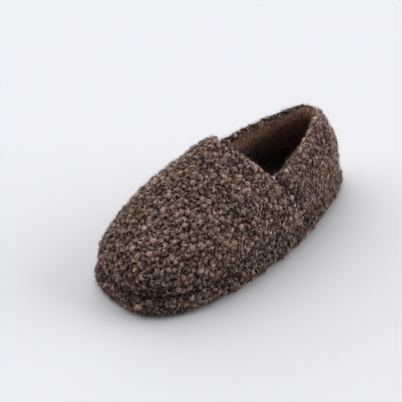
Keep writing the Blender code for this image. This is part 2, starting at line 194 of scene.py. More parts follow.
def collar_shift(s, side):
    """Sideways shift of the open rear part, which the foot spreads to the outer side."""
    start, full, end = SPREAD_STATIONS
    heel = smooth(s, end, PI)
    at_side = COLLAR_SPREAD * smooth(s, start, full) * (1 - heel)
    return HEEL_SPREAD * heel + np.where(side > 0, at_side, 0)


def upper(s, side, phi):
    """Outside of the upper; stations and rises past an end run on over the other side."""
    s, side, phi = np.broadcast_arrays(np.asarray(s, float), np.asarray(side, float),
                                       np.asarray(phi, float))
    over = phi > PI / 2
    side = np.where(over, -side, side)
    phi = np.where(over, PI - phi, phi)
    side = np.where((s < 0) | (s > PI), -side, side)
    s = np.where(s < 0, -s, np.where(s > PI, 2 * PI - s, s))
    x, y = outline(s, side)
    ridge_x = RIDGE_X + collar_shift(s, side)
    ridge_mid, ridge_share = (TOE_REACH - HEEL_REACH) / 2, 1 - (TOE_REACH + HEEL_REACH) / LENGTH
    ridge_y = ridge_mid + ridge_share * y
    inwards = 1 - np.clip(np.cos(phi), 0, 1) ** ARCH_POWER
    inwards = inwards + HEEL_HOLLOW * smooth(s, HEEL_STATION, PI) * np.sin(2 * phi)
    new_y = y + (ridge_y - y) * inwards
    rise = rise_along(np.cos(s))
    own_rise = rise_along((ridge_mid - new_y) / (ridge_share * LENGTH / 2))
    rise = rise + (own_rise - rise) * np.sin(phi) ** TOE_BLEND
    return np.stack([x + (ridge_x - x) * inwards - CENTRE_X, new_y,
                     SEAM_Z + rise * np.sin(phi)], -1)


def unit(v):
    return v / np.maximum(np.linalg.norm(v, axis=-1, keepdims=True), 1e-12)


def one_normal(s, side, phi):
    along = upper(s + NORMAL_STEP, side, phi) - upper(s - NORMAL_STEP, side, phi)
    up = upper(s, side, phi + NORMAL_STEP) - upper(s, side, phi - NORMAL_STEP)
    return unit(np.cross(along, up) * np.asarray(side)[..., None])


def upper_normal(s, side, phi):
    """Outward normal; both sides are averaged on the ridge, where they meet."""
    below = np.minimum(phi, PI / 2 - RIDGE_BAND)
    normal = one_normal(s, side, below)
    on_ridge = (phi > PI / 2 - RIDGE_BAND)[..., None]
    return unit(np.where(on_ridge, normal + one_normal(s, -side, below), normal))


def rise_at(s, z):
    return np.arcsin(np.clip((z - SEAM_Z) / rise_along(np.cos(s)), 0, 1))


def topline_z(s):
    t = np.clip((s - THROAT_CORNER) / (PI - THROAT_CORNER), 0, 1)
    return CORNER_Z + (HEEL_TOP_Z - CORNER_Z) * np.sin(t * PI / 2) ** COLLAR_POWER


CORNER_RISE = float(rise_at(THROAT_CORNER, CORNER_Z))


def side_seam(phi):
    return SIDE_SEAM_FOOT + (THROAT_CORNER - SIDE_SEAM_FOOT) * phi / CORNER_RISE


def layer(grid, depth):
    """Points of a grid of stations, sides and rises, set inwards by a depth."""
    s, side, phi = grid
    return upper(s, side, phi) - upper_normal(s, side, phi) * np.asarray(depth)[..., None]


def at_throat(phi):
    """0 along the side seams, 1 along the throat."""
    return smooth(phi, CORNER_RISE, CORNER_RISE + THROAT_BLEND)


def vamp_grid(rows, low, high, end, seam_end=None):
    """Front panel: rows run from the toe to the rear edge, columns over from side to side.
    The ends are shares of the way to that edge, at the throat and at the side seams."""
    half = np.concatenate([np.linspace(0, CORNER_RISE, low + 1),
                           np.linspace(CORNER_RISE, PI / 2, high + 1)[1:]])
    phi = np.concatenate([half, half[-2::-1]])
    side = np.where(np.arange(len(phi)) < len(half), 1.0, -1.0)
    share = (phi - CORNER_RISE) / (PI / 2 - CORNER_RISE)
    throat = THROAT_CORNER + (THROAT_MIDDLE - THROAT_CORNER) * share
    throat = throat - THROAT_DIP * np.sin(PI * np.clip(share, 0, 1))
    rear = np.where(phi <= CORNER_RISE, side_seam(phi), throat) - SEAM_HALF
    reach = end + ((seam_end or end) - end) * (1 - at_throat(phi))
    t = np.linspace(0, 1, rows + 1)[:, None]
    return t * reach * rear, side + 0 * t, phi + 0 * t


def quarter_grid(side, columns, rows, end):
    """Rear panel: rows climb from the platform to the topline, columns run to the heel."""
    t = np.linspace(0, 1, columns + 1)[None, :]
    r = np.linspace(0, end, rows + 1)[:, None]
    top_station = THROAT_CORNER * (1 - t) + PI * t
    front = side_seam(r * CORNER_RISE) + SEAM_HALF
    phi = r * rise_at(top_station, topline_z(top_station))
    return front * (1 - t) + PI * t, side + 0 * r * t, phi


def last_row(grid):
    return [values[-1] for values in grid]


# ---------- meshes

def new_mesh(name, points, faces, mat, attributes=None):
    """A smooth mesh from points and a list of face arrays, each with its own corner count."""
    loops = np.concatenate([f.ravel() for f in faces])
    sizes = np.concatenate([np.full(len(f), f.shape[1]) for f in faces])
    mesh = bpy.data.meshes.new(name)
    mesh.vertices.add(len(points))
    mesh.vertices.foreach_set("co", np.asarray(points, np.float32).ravel())
    mesh.loops.add(len(loops))
    mesh.loops.foreach_set("vertex_index", loops.astype(np.int32))
    mesh.polygons.add(len(sizes))
    mesh.polygons.foreach_set("loop_start", (np.cumsum(sizes) - sizes).astype(np.int32))
    mesh.update(calc_edges=True)
    for key, values in (attributes or {}).items():
        field = mesh.attributes.new(key, "FLOAT", "POINT")
        field.data.foreach_set("value", np.asarray(values, np.float32).ravel())
    mesh.shade_smooth()
    mesh.materials.append(mat)
    return in_scene(name, mesh)


def in_scene(name, data):
    obj = bpy.data.objects.new(name, data)
    bpy.context.scene.collection.objects.link(obj)
    return obj


def sheet_mesh(name, outside, inside, mat, folded=False, ring=False):
    """Closed sheet between two grids of points: doubled up on its first row if folded, and
    its first and last columns joined if a ring."""
    if ring:
        outside, inside = [np.concatenate([a, a[:, :1]], 1) for a in (outside, inside)]
    rows, columns = outside.shape[:2]
    index = np.arange(rows * columns).reshape(rows, columns)
    if folded:
        index[0] = np.minimum(index[0], index[0][::-1])
    if ring:
        index[:, -1] = index[:, 0]
    quads = np.stack([index[:-1, :-1], index[1:, :-1], index[1:, 1:], index[:-1, 1:]], -1)
    quads = quads.reshape(-1, 4)
    edges = np.concatenate([quads[:, [k, (k + 1) % 4]] for k in range(4)])
    _, first, count = np.unique(np.sort(edges, 1), axis=0, return_index=True,
                                return_counts=True)
    rim = edges[first[count == 1]]
    n = rows * columns
    walls = np.stack([rim[:, 1], rim[:, 0], rim[:, 0] + n, rim[:, 1] + n], 1)
    faces = np.concatenate([quads, quads[:, ::-1] + n, walls])
    points = np.concatenate([outside.reshape(-1, 3), inside.reshape(-1, 3)])
    return closed_mesh(name, points, faces, mat)


def closed_mesh(name, points, faces, mat):
    """A mesh without the points it doesn't use, its faces turned outwards and its rim sharp."""
    used, packed = np.unique(faces, return_inverse=True)
    obj = new_mesh(name, points[used], [packed.reshape(faces.shape)], mat)
    bm = bmesh.new()
    bm.from_mesh(obj.data)
    bmesh.ops.recalc_face_normals(bm, faces=bm.faces)
    bm.to_mesh(obj.data)
    bm.free()
    obj.data.set_sharp_from_angle(angle=math.radians(SHARP_ANGLE))
    return obj


def belongs(obj, slot_name, *nodes):
    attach(obj, "root")
    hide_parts(*nodes)
    return obj


# ---------- materials

def srgb(*values):
    """Linear colour from 0 to 255 display values."""
    return [((v / 255 + 0.055) / 1.055) ** 2.4 if v > 10 else v / 255 / 12.92 for v in values]


class Tree:
    """Adds and joins the nodes of one shader tree."""

    def __init__(self, owner):
        owner.use_nodes = True
        self.tree = owner.node_tree

    def feed(self, node, inputs):
        """Sets a node's inputs to values, or links them to other nodes' outputs."""
        for key, value in inputs.items():
            if isinstance(value, bpy.types.NodeSocket):
                self.tree.links.new(value, node.inputs[key])
            else:
                node.inputs[key].default_value = value

    def add(self, kind, inputs, output, **settings):
        node = self.tree.nodes.new("ShaderNode" + kind)
        for key, value in settings.items():
            setattr(node, key, value)
        self.feed(node, inputs)
        return node.outputs[output]

    def ramp(self, source, *stops):
        """Colours at places from 0 to 1."""
        output = self.add("ValToRGB", {"Fac": source}, "Color")
        elements = output.node.color_ramp.elements
        while len(elements) < len(stops):
            elements.new(0.5)
        for element, (place, colour) in zip(elements, stops):
            element.position = place
            element.color = (*colour, 1)
        return output

    def mapped(self, source, start, span=(0, 1)):
        """A value moved from one range to another, and held inside it."""
        ends = dict(zip(("From Min", "From Max", "To Min", "To Max"), (*start, *span)))
        return self.add("MapRange", {"Value": source, **ends}, "Result")

    def height(self, source):
        return self.add("SeparateXYZ", {0: source}, "Z")


class Nodes(Tree):
    """Builds one Principled material from its nodes."""

    def __init__(self, name, roughness, sheen=0.0, sheen_tint=(1, 1, 1), specular=0.5):
        self.mat = bpy.data.materials.new(name)
        super().__init__(self.mat)
        self.shader = self.tree.nodes["Principled BSDF"]
        self.feed(self.shader, {
            "Roughness": roughness, "Sheen Weight": sheen, "Sheen Roughness": 0.5,
            "Sheen Tint": (*sheen_tint, 1), "Specular IOR Level": specular})
        self.position = self.add("NewGeometry", {}, "Position")

    def attribute(self, name):
        return self.add("Attribute", {}, "Fac", attribute_name=name)

    def noise(self, scale, detail=3.0, stretch=None):
        source = self.position
        if stretch:
            source = self.add("Mapping", {"Vector": source, "Scale": stretch}, "Vector")
        return self.add("TexNoise", {"Vector": source, "Scale": scale, "Detail": detail}, "Fac")

    def shade(self, deep):
        """Painted shade: a factor from deep, low in the shoe where little light reaches, to 1 at
        the topline.
        """
        level = self.mapped(self.height(self.position), DEEP_PAINTED_SHADE_Z)
        return self.ramp(level, (0.0, deep), (1.0, (1.0, 1.0, 1.0)))

    def colour(self, *colours, deep=None):
        """Gives the material these colours, multiplied together."""
        product = colours[0]
        if deep:
            colours += (self.shade(deep),)
        for other in colours[1:]:
            product = self.add("MixRGB", {"Fac": 1, "Color1": product, "Color2": other}, "Color",
                               blend_type="MULTIPLY")
        self.feed(self.shader, {"Base Color": product})

    def bump(self, height, distance, strength=1.0):
        self.feed(self.shader, {"Normal": self.add(
            "Bump", {"Height": height, "Distance": distance, "Strength": strength}, "Normal")})


def fleece(name, root, middle, crown, sheen, deep=None):
    """Fibres in tufts and patches that differ at random, with painted shade that darkens them
    towards the root.
    """
    n = Nodes(name, 0.9, sheen, srgb(200, 180, 165), 0.2)
    height = n.ramp(n.attribute("lift"), (0.2, srgb(*root)), (0.55, srgb(*middle)),
                    (0.95, srgb(*crown)))
    tone = n.ramp(n.attribute("tone"), (0.0, (0.60, 0.58, 0.58)), (0.5, (0.97, 0.96, 0.96)),
                  (1.0, (1.40, 1.38, 1.36)))
    hue = n.ramp(n.attribute("hue"), (0.0, (1.08, 1.00, 0.90)), (1.0, (0.96, 0.99, 1.04)))
    strand = n.ramp(n.attribute("strand"), (0.0, (0.45, 0.41, 0.39)), (0.6, (1.0, 1.0, 1.0)),
                    (1.0, (1.64, 1.66, 1.68)))
    fibre = n.ramp(n.noise(1300, 2), (0.3, (0.64, 0.63, 0.62)), (0.7, (1.36, 1.36, 1.36)))
    n.colour(height, tone, hue, strand, fibre, deep=deep)
    n.bump(n.noise(2200, 2), 0.0003, 0.7)
    return n.mat


def knit_material(name, dark, light, scale, deep=None):
    """A knitted ground between tufts."""
    n = Nodes(name, 0.95, 0.1, srgb(130, 110, 96), 0.1)
    n.colour(n.ramp(n.noise(scale, 3), (0.3, srgb(*dark)), (0.7, srgb(*light))), deep=deep)
    n.bump(n.noise(scale * 1.5, 3), 0.0006)
    return n.mat


def foam_material(name, light, dark, scale):
    """Foam: pores and slight clouding."""
    n = Nodes(name, 0.9, 0.0, specular=0.2)
    cells = n.add("TexVoronoi", {"Vector": n.position, "Scale": scale}, "Distance")
    pores = n.ramp(cells, (0.05, srgb(*dark)), (0.45, srgb(*light)))
    cloud = n.ramp(n.noise(60), (0.3, (0.92, 0.91, 0.88)), (0.7, (1, 1, 1)))
    n.colour(pores, cloud)
    n.bump(cells, 0.0003)
    return n.mat


def board_material():
    n = Nodes("fibre_board", 0.85, 0.0, specular=0.2)
    flecks = n.noise(700, 4, (1, 0.25, 1))
    n.colour(n.ramp(flecks, (0.3, srgb(120, 101, 78)), (0.55, srgb(158, 138, 112)),
                    (0.75, srgb(178, 160, 134))))
    n.bump(flecks, 0.0001)
    return n.mat


def rubber_material():
    n = Nodes("outsole_rubber", 0.6, 0.0, specular=0.4)
    n.colour(n.ramp(n.noise(90, 4), (0.3, srgb(40, 35, 32)), (0.7, srgb(54, 48, 44))))
    n.bump(n.noise(2600, 2), 0.00008)
    return n.mat


def thread_material():
    n = Nodes("sewing_thread", 0.6, 0.2, srgb(150, 130, 115), 0.3)
    ply = n.add("TexWave", {"Vector": n.position, "Scale": 1200}, "Fac", wave_type="BANDS",
                bands_direction="DIAGONAL")
    n.colour(n.ramp(ply, (0.2, srgb(34, 26, 22)), (0.8, srgb(60, 47, 40))))
    n.bump(ply, 0.0001)
    return n.mat


# ---------- ground of the pile

def lumps(points, size, seed):
    """Soft unevenness, mostly between -1 and 1, from waves in several directions."""
    rng = np.random.default_rng(seed)
    total = np.zeros(points.shape[:-1])
    for _ in range(7):
        direction = rng.normal(size=3)
        direction *= 2 * PI / (size * rng.uniform(0.7, 1.5)) / np.linalg.norm(direction)
        total += np.sin(points @ direction + rng.uniform(0, 2 * PI))
    return total / 3.5


def feather_dip(s):
    """The crease over the band is deep round the toe and shallow along the rear."""
    return FEATHER_DIP * (1 - 0.85 * smooth(s, *CREASE_END))


def ground_depth(grid, edge):
    """Depth of the ground: uneven, and drawn in along its sewn edges."""
    feather = grid[2] * rise_along(np.cos(grid[0]))
    dip = np.maximum(SEAM_DIP * np.exp(-np.maximum(edge, 0) / SEAM_DIP_WIDTH),
                     feather_dip(grid[0]) * np.exp(-feather / SEAM_DIP_WIDTH))
    wave = LUMP_HEIGHT * lumps(upper(*grid), LUMP_SIZE, SEED) * (1 - dip / SEAM_DIP * 0.6)
    feather = feather + FAR * smooth(grid[0], *CREASE_END)
    return np.minimum(GROUND_DEPTH + wave + dip, PILE_BACK - 0.0004), np.minimum(edge, feather)


def with_roll(face, back, edge, up, out, depth, lift):
    """A sheet whose last row turns over an edge, in half an ellipse from its face to depth
    behind it, with its back running under the turn; and each point's distance from a seam."""
    angle = np.linspace(0, PI, ROLL_STEPS + 1)[1:, None, None]
    half = (depth / 2)[None, :, None]
    turn = (face[-1] - out * depth[:, None] / 2)[None] + out[None] * half * np.cos(angle) \
        + up[None] * lift[None, :, None] * np.sin(angle)
    share = np.linspace(0, 1, ROLL_STEPS + 1)[1:, None, None]
    under = face[-1] - out * (depth - 0.0004)[:, None]
    return (np.concatenate([face, turn]),
            np.concatenate([back, back[-1][None] * (1 - share) + under[None] * share]),
            np.concatenate([edge, np.repeat(edge[-1:], ROLL_STEPS, 0)]))


def edge_frame(grid, towards):
    """Outward and onward directions along a grid's last row; onward is a step (s, phi)."""
    s, side, phi = last_row(grid)
    out = upper_normal(s, side, phi)
    ahead = upper(s + towards[0], side, phi + towards[1]) - upper(s, side, phi)
    return out, unit(ahead - out * (ahead * out).sum(-1, keepdims=True))


def vamp_ground():
    grid = vamp_grid(rows=96, low=26, high=34, end=1 - THROAT_ROLL_SHARE)
    s, side, phi = last_row(grid)
    depth, edge = ground_depth(grid, FAR)
    out, ahead = edge_frame(grid, ONWARD)
    rear = upper(s / (1 - THROAT_ROLL_SHARE), side, phi)
    left = np.linalg.norm(rear - upper(s, side, phi), axis=-1)
    closed = smooth(phi, CORNER_RISE - THROAT_CLOSING, CORNER_RISE)
    behind = PILE_BACK + (LINING[0] - PILE_BACK) * closed - depth[-1]
    lift = left - ROLL_DROP[1.0][0] * at_throat(phi)
    return with_roll(layer(grid, depth), layer(grid, PILE_BACK), edge, ahead, out, behind, lift)


def quarter_ground(side):
    grid = quarter_grid(side, columns=84, rows=60, end=1 - ROLL_SHARE)
    s = grid[0]
    to_seam = (s - s[:, :1]) * LENGTH / 2
    to_heel = 0.04 * np.clip(PI - s, 0, 1) ** HEEL_POWER
    depth, edge = ground_depth(grid, np.minimum(to_seam, to_heel) + 0.001)
    face, back = layer(grid, depth), layer(grid, PILE_BACK)
    for points in (face, back):
        points[:, -1, 0] = upper(*grid)[:, -1, 0] + side * HEEL_GAP
    out, up = edge_frame(grid, UPWARD)
    return with_roll(face, back, edge, up, out, LINING[0] - depth[-1], roll_lift(grid))


def roll_lift(grid):
    """How far the ground of a quarter's rolled edge rises above a grid's last row."""
    s, side, phi = last_row(grid)
    top = upper(s, side, phi / (1 - ROLL_SHARE))
    front, heel = ROLL_DROP[side[0]]
    drop = front + (heel - front) * smooth(np.linspace(0, 1, len(s)), 0.3, 0.9)
    return np.linalg.norm(top - upper(s, side, phi), axis=-1) - drop


def roll_end(share, side):
    """Angle over the rolled edge where pile gives way to lining: less of it near the heel,
    and on the outer side, which has rolled outwards a little."""
    start = ROLL_END[side]
    return PI * (start + (HEEL_ROLL_END - start) * smooth(share, 0.2, 0.9))


def on_roll(grid, turn, above):
    """Points above the ground of a quarter's rolled edge, at angles over the turn."""
    out, up = edge_frame(grid, UPWARD)
    half = (LINING[0] - GROUND_DEPTH) / 2
    centre = upper(*last_row(grid)) - out * (GROUND_DEPTH + half)
    return centre + out * (half + above) * np.cos(turn)[..., None] \
        + up * (roll_lift(grid)[:, None] + above) * np.sin(turn)[..., None]


def plan_loop(inset, z, count):
    """Points of a level loop round the platform, set in from the seam outline."""
    s = np.concatenate([np.linspace(0, PI, count + 1)[:-1], np.linspace(PI, 0, count + 1)[:-1]])
    side = np.repeat([1.0, -1.0], count)
    out = upper_normal(s, side, 0 * s)
    out[:, 2] = 0
    point = upper(s, side, 0 * s) - unit(out) * inset
    point[:, 2] = z
    return point


def band_ground():
    """The fluffy band, from its foot up to the sunken seam."""
    face, back = [], []
    stations = np.linspace(0, PI, BAND_COLUMNS + 1)
    stations = np.concatenate([stations[:-1], stations[:0:-1]])
    for share in np.linspace(0, 1, BAND_ROWS + 1):
        z = BAND_FOOT_Z + (BAND_TOP_Z - BAND_FOOT_Z) * share
        bulge = BAND_BULGE * math.sin(PI * (BAND_LOW + (1 - BAND_LOW) * share))
        dip = feather_dip(stations) * math.exp(-(BAND_TOP_Z - z) / SEAM_DIP_WIDTH)
        tuck = BAND_TUCK[0] * math.exp(-(z - BAND_FOOT_Z) / BAND_TUCK[1])
        inset = (GROUND_DEPTH * 0.8 - bulge + dip + tuck)[:, None]
        face.append(plan_loop(inset, z, BAND_COLUMNS))
        back.append(plan_loop(np.maximum(PILE_BACK, inset + 0.0006), z, BAND_COLUMNS))
    face, back = np.array(face), np.array(back)
    inwards = unit(back - face)
    edge = BAND_TOP_Z - face[..., 2]
    wave = LUMP_HEIGHT * 0.7 * lumps(face, 0.02, SEED + 1) * np.minimum(1, edge / 0.004)
    return face + inwards * wave[..., None], back, edge + FAR * smooth(stations, *CREASE_END)


# ---------- curls

def swept(rng, line, radius, sides, twist):
    """Rings of points round a line; the section is slightly flattened and turns as it goes."""
    ahead = unit(np.gradient(line, axis=0))
    rings, across, flat = [], np.array([1.0, 0.2, 0.1]), rng.uniform(0.86, 1.14)
    for k, step in enumerate(ahead):
        across = across - step * (across @ step)
        across = across / np.linalg.norm(across)
        beside = np.cross(step, across)
        angle = (2 * PI * np.arange(sides) / sides + twist * k / len(line))[:, None]
        rings.append(line[k] + radius[k] * (np.cos(angle) * across * flat
                                            + np.sin(angle) * beside / flat))
    return np.array(rings)


def lock(rng, kind):
    """A curled lock of pile in millimetres: strands that wind side by side round one axis,
    their ends down in the ground."""
    strands, reach, height, width = kind
    reach, height = rng.uniform(*reach), rng.uniform(*height)
    lean = math.radians(rng.uniform(8, 86))
    axis = np.array([math.sin(lean), 0, math.cos(lean)])
    side, front = np.array([0, 1.0, 0]), np.array([math.cos(lean), 0, -math.sin(lean)])
    hand, open_end = rng.choice([-1, 1]), rng.uniform(0, 2 * PI)
    pitch = rng.uniform(-0.5, 0.5)
    t = np.linspace(0, 1, RINGS)
    shapes = []
    for k in range(strands):
        along = (k + 0.5 + rng.uniform(-0.35, 0.35)) / strands * 1.8 - 0.9
        ring = math.sqrt(1 - along * along) * rng.uniform(0.82, 1.08)
        turn = 2 * PI * rng.uniform(0.42, 0.72)
        start = open_end * math.cos(lean) - PI / 2 * math.sin(lean) - turn / 2
        start += rng.normal(0, 0.35)
        angle = start + turn * t if lean < 0.6 else PI + turn * (t - 0.5) + rng.normal(0, 0.3)
        wind = ring * (1 - rng.uniform(0, 0.35) * t)
        line = (along + pitch * (t - 0.5) * hand)[:, None] * axis
        line = line + (wind * np.cos(angle))[:, None] * front
        line = line + (wind * np.sin(angle) * hand)[:, None] * side
        wobble = rng.uniform(0.8, 2.0, 3) * t[:, None]
        line += 0.07 * np.sin(2 * PI * (wobble + rng.uniform(size=3)))
        line *= [reach, reach * 0.9, height]
        radius = width / 2 * rng.uniform(0.8, 1.25) * np.sin(PI * (0.10 + 0.80 * t)) ** 0.5
        shapes.append(swept(rng, line, radius, SIDES, rng.uniform(-2, 2)))
    return np.array(shapes)


def tube_faces(rings, sides):
    """Side quads of a swept tube, and its two end faces."""
    i, j = np.meshgrid(np.arange(rings - 1), np.arange(sides), indexing="ij")
    a, b = i * sides + j, i * sides + (j + 1) % sides
    walls = np.stack([a, b, b + sides, a + sides], -1).reshape(-1, 4)
    ends = np.stack([np.arange(sides)[::-1], (rings - 1) * sides + np.arange(sides)])
    return walls, ends


def sample(face, count, rng):
    """Random points spread evenly over a grid surface: place, normal, row and column."""
    a = face[1:, :-1] - face[:-1, :-1]
    b = face[:-1, 1:] - face[:-1, :-1]
    cross = np.cross(b, a)
    area = np.linalg.norm(cross, axis=-1)
    chosen = rng.choice(area.size, size=count, p=(area / area.sum()).ravel())
    i, j = np.unravel_index(chosen, area.shape)
    u, v = rng.uniform(size=(2, count, 1))
    near = face[i, j] * (1 - u) + face[i + 1, j] * u
    far = face[i, j + 1] * (1 - u) + face[i + 1, j + 1] * u
    return near * (1 - v) + far * v, unit(cross[i, j]), i + u[:, 0], j + v[:, 0]


def keep_apart(points, spacing, taken):
    """Indices of points at least spacing apart, or two cells if that is less, in order; taken
    holds those kept so far."""
    kept = []
    cells = np.floor(points / TUFT_SPACING).astype(int).tolist()
    reach = range(-2, 3) if spacing > TUFT_SPACING else range(-1, 2)
    around = [(x, y, z) for x in reach for y in reach for z in reach]
    for n, (point, (cx, cy, cz)) in enumerate(zip(points.tolist(), cells)):
        px, py, pz = point
        if all((q[0] - px) ** 2 + (q[1] - py) ** 2 + (q[2] - pz) ** 2 >= spacing ** 2
               for dx, dy, dz in around for q in taken.get((cx + dx, cy + dy, cz + dz), ())):
            kept.append(n)
            taken.setdefault((cx, cy, cz), []).append(point)
    return np.array(kept, int)


def across_from(direction):
    """Two directions at right angles to each row's own."""
    across = unit(np.cross(direction, [0.31, 0.17, 0.93]))
    return across, np.cross(direction, across)


def turned(points, axis, angle):
    """Rotates each row of points about its own axis."""
    c, s = np.cos(angle)[:, None, None], np.sin(angle)[:, None, None]
    axis = axis[:, None]
    dot = (points * axis).sum(-1, keepdims=True)
    return points * c + np.cross(axis, points) * s + axis * dot * (1 - c)


def lifted(z):
    """Heights squeezed together near the floor, so that the pile never reaches it."""
    span = PRESSED - LOWEST_TUFT
    return np.where(z < PRESSED, LOWEST_TUFT + span * np.exp(np.minimum(z - PRESSED, 0) / span), z)


def clumps(point, rng):
    """For each point, the place of its clump's middle and how near it is to the clump's
    border, from 0 on the border to 1 inside. The middles are points picked at random; only
    their number follows from the spacing."""
    middles = point[keep_apart(point[rng.permutation(len(point))], CLUMP_SPACING, {})]
    tree = KDTree(len(middles))
    for k, middle in enumerate(middles):
        tree.insert(middle, k)
    tree.balance()
    found = [tree.find_n(p, 2) for p in point]
    inside = np.array([b[2] - a[2] for a, b in found]) / (CLUMP_SPACING / 2)
    return np.array([a[0] for a, b in found]), np.clip(inside, 0, 1)


def placed(shapes, point, normal, size, tilt, inside, painted_edge_light, rng):
    """Copies of random locks standing at points, as a group of tubes."""
    total = len(point)
    chosen = shapes[rng.integers(len(shapes), size=total)]
    strands = chosen.shape[1]
    local = chosen.reshape(total, -1, 3) * 0.001 * size[:, None, None]
    spin, lean = rng.uniform(0, 2 * PI, (2, total))
    local = turned(local, np.array([[0.0, 0.0, 1.0]]), spin)
    local = turned(local, np.stack([np.cos(lean), np.sin(lean), 0 * lean], -1),
                   rng.uniform(-tilt, tilt, total))
    across, along = across_from(normal)
    world = (point[:, None] + local[..., :1] * across[:, None]
             + local[..., 1:2] * along[:, None] + local[..., 2:] * normal[:, None])
    world[..., 2] = lifted(world[..., 2])
    tone = 0.5 + 0.14 * lumps(point, 0.03, SEED + 3) + rng.normal(0, 0.10, total)
    # painted shade: locks low down near the floor are darker
    # painted shade: locks near a clump's border, down in the valley between clumps, are darker
    tone = tone + 0.20 * (inside - 0.55) + painted_edge_light - LOW_PAINTED_SHADE * (1 - smooth(point[:, 2], *LOW_Z))
    hue = 0.5 + 0.30 * lumps(point, 0.028, SEED + 4) + rng.normal(0, 0.10, total)
    lift = (local[..., 2] * 1000 + 0.5) / 2.7
    tone, hue = [np.clip(v[:, None] + rng.normal(0, 0.07, (total, strands)), 0, 1)
                 for v in (tone, hue)]
    return tubes(world, RINGS, SIDES, lift=np.clip(lift, 0, 1), tone=tone, hue=hue,
                 strand=rng.uniform(0, 1, total * strands))


def tubes(world, rings, sides, **values):
    """A group of equal tubes: their points, and the values that each carries."""
    world = world.reshape(-1, rings * sides, 3)
    return world, {key: np.broadcast_to(value.reshape(len(world), -1), world.shape[:2])
                   for key, value in values.items()}, rings, sides


def joined(name, groups, mat):
    """One mesh from groups of tubes."""
    points, faces, attributes, base = [], [], {}, 0
    for world, values, rings, sides in groups:
        offset = base + np.arange(len(world))[:, None, None] * rings * sides
        for template in tube_faces(rings, sides):
            faces.append((template[None] + offset).reshape(-1, template.shape[1]))
        points.append(world.reshape(-1, 3))
        for key, value in values.items():
            attributes.setdefault(key, []).append(value.ravel())
        base += world.shape[0] * world.shape[1]
    attributes = {key: np.concatenate(value) for key, value in attributes.items()}
    return new_mesh(name, np.concatenate(points), faces, mat, attributes)


def fibres(point, normal, length, width, rng, spread, nap=(0, 0, 0)):
    """Thin bent hairs that start at points, as a group of tubes."""
    total = len(point)
    lean = unit(normal + spread * rng.normal(size=(total, 3)) + np.asarray(nap))
    bend = rng.normal(size=(total, 3)) * 0.35
    t = np.linspace(0, 1, HAIR_RINGS)
    reach = length * rng.uniform(0.6, 1.3, total)
    line = point[:, None] + reach[:, None, None] * (
        lean[:, None] * t[:, None] + bend[:, None] * (t * t)[:, None])
    across, beside = across_from(lean)
    angle = 2 * PI * np.arange(HAIR_SIDES) / HAIR_SIDES
    ring = np.cos(angle)[:, None] * across[:, None] + np.sin(angle)[:, None] * beside[:, None]
    taper = (width / 2 * (1 - 0.8 * t))[:, None, None]
    world = line[:, :, None] + ring[:, None] * taper
    world[..., 2] = lifted(world[..., 2])
    return tubes(world, HAIR_RINGS, HAIR_SIDES, tone=rng.uniform(0, 1, total),
                 hue=rng.uniform(0.2, 0.8, total), strand=np.full(total, HAIR_PAINTED_HIGHLIGHT),
                 lift=np.tile(np.repeat(t, HAIR_SIDES), (total, 1)))


def halo(world, normal, rng):
    """Stray hairs that leave the sides of strands; the normal is each strand's ground's."""
    rings = world.reshape(len(world), RINGS, SIDES, 3)
    which = rng.integers(len(world), size=int(len(world) * KNOT_HAIRS / KNOT[0]))
    ring = rng.integers(2, RINGS - 2, len(which))
    start = rings[which, ring, rng.integers(SIDES, size=len(which))]
    outwards = unit(start - rings[which, ring].mean(1))
    along = unit(rings[which, ring + 1].mean(1) - rings[which, ring].mean(1))
    lean = outwards * 0.7 + along * rng.choice([-0.8, 0.8], (len(which), 1)) + normal[which] * 0.35
    return fibres(start, lean, STRAY_LENGTH, HAIR_WIDTH, rng, 0.25)


def past_roll(name, turn, share):
    """True where a panel's rolled edge carries no curls."""
    if name == "band":
        return np.zeros(turn.shape, bool)
    if name == "vamp":
        return turn > PI * VAMP_ROLL_END
    return turn > roll_end(share, dict(HALVES)[name.split("_")[1]])


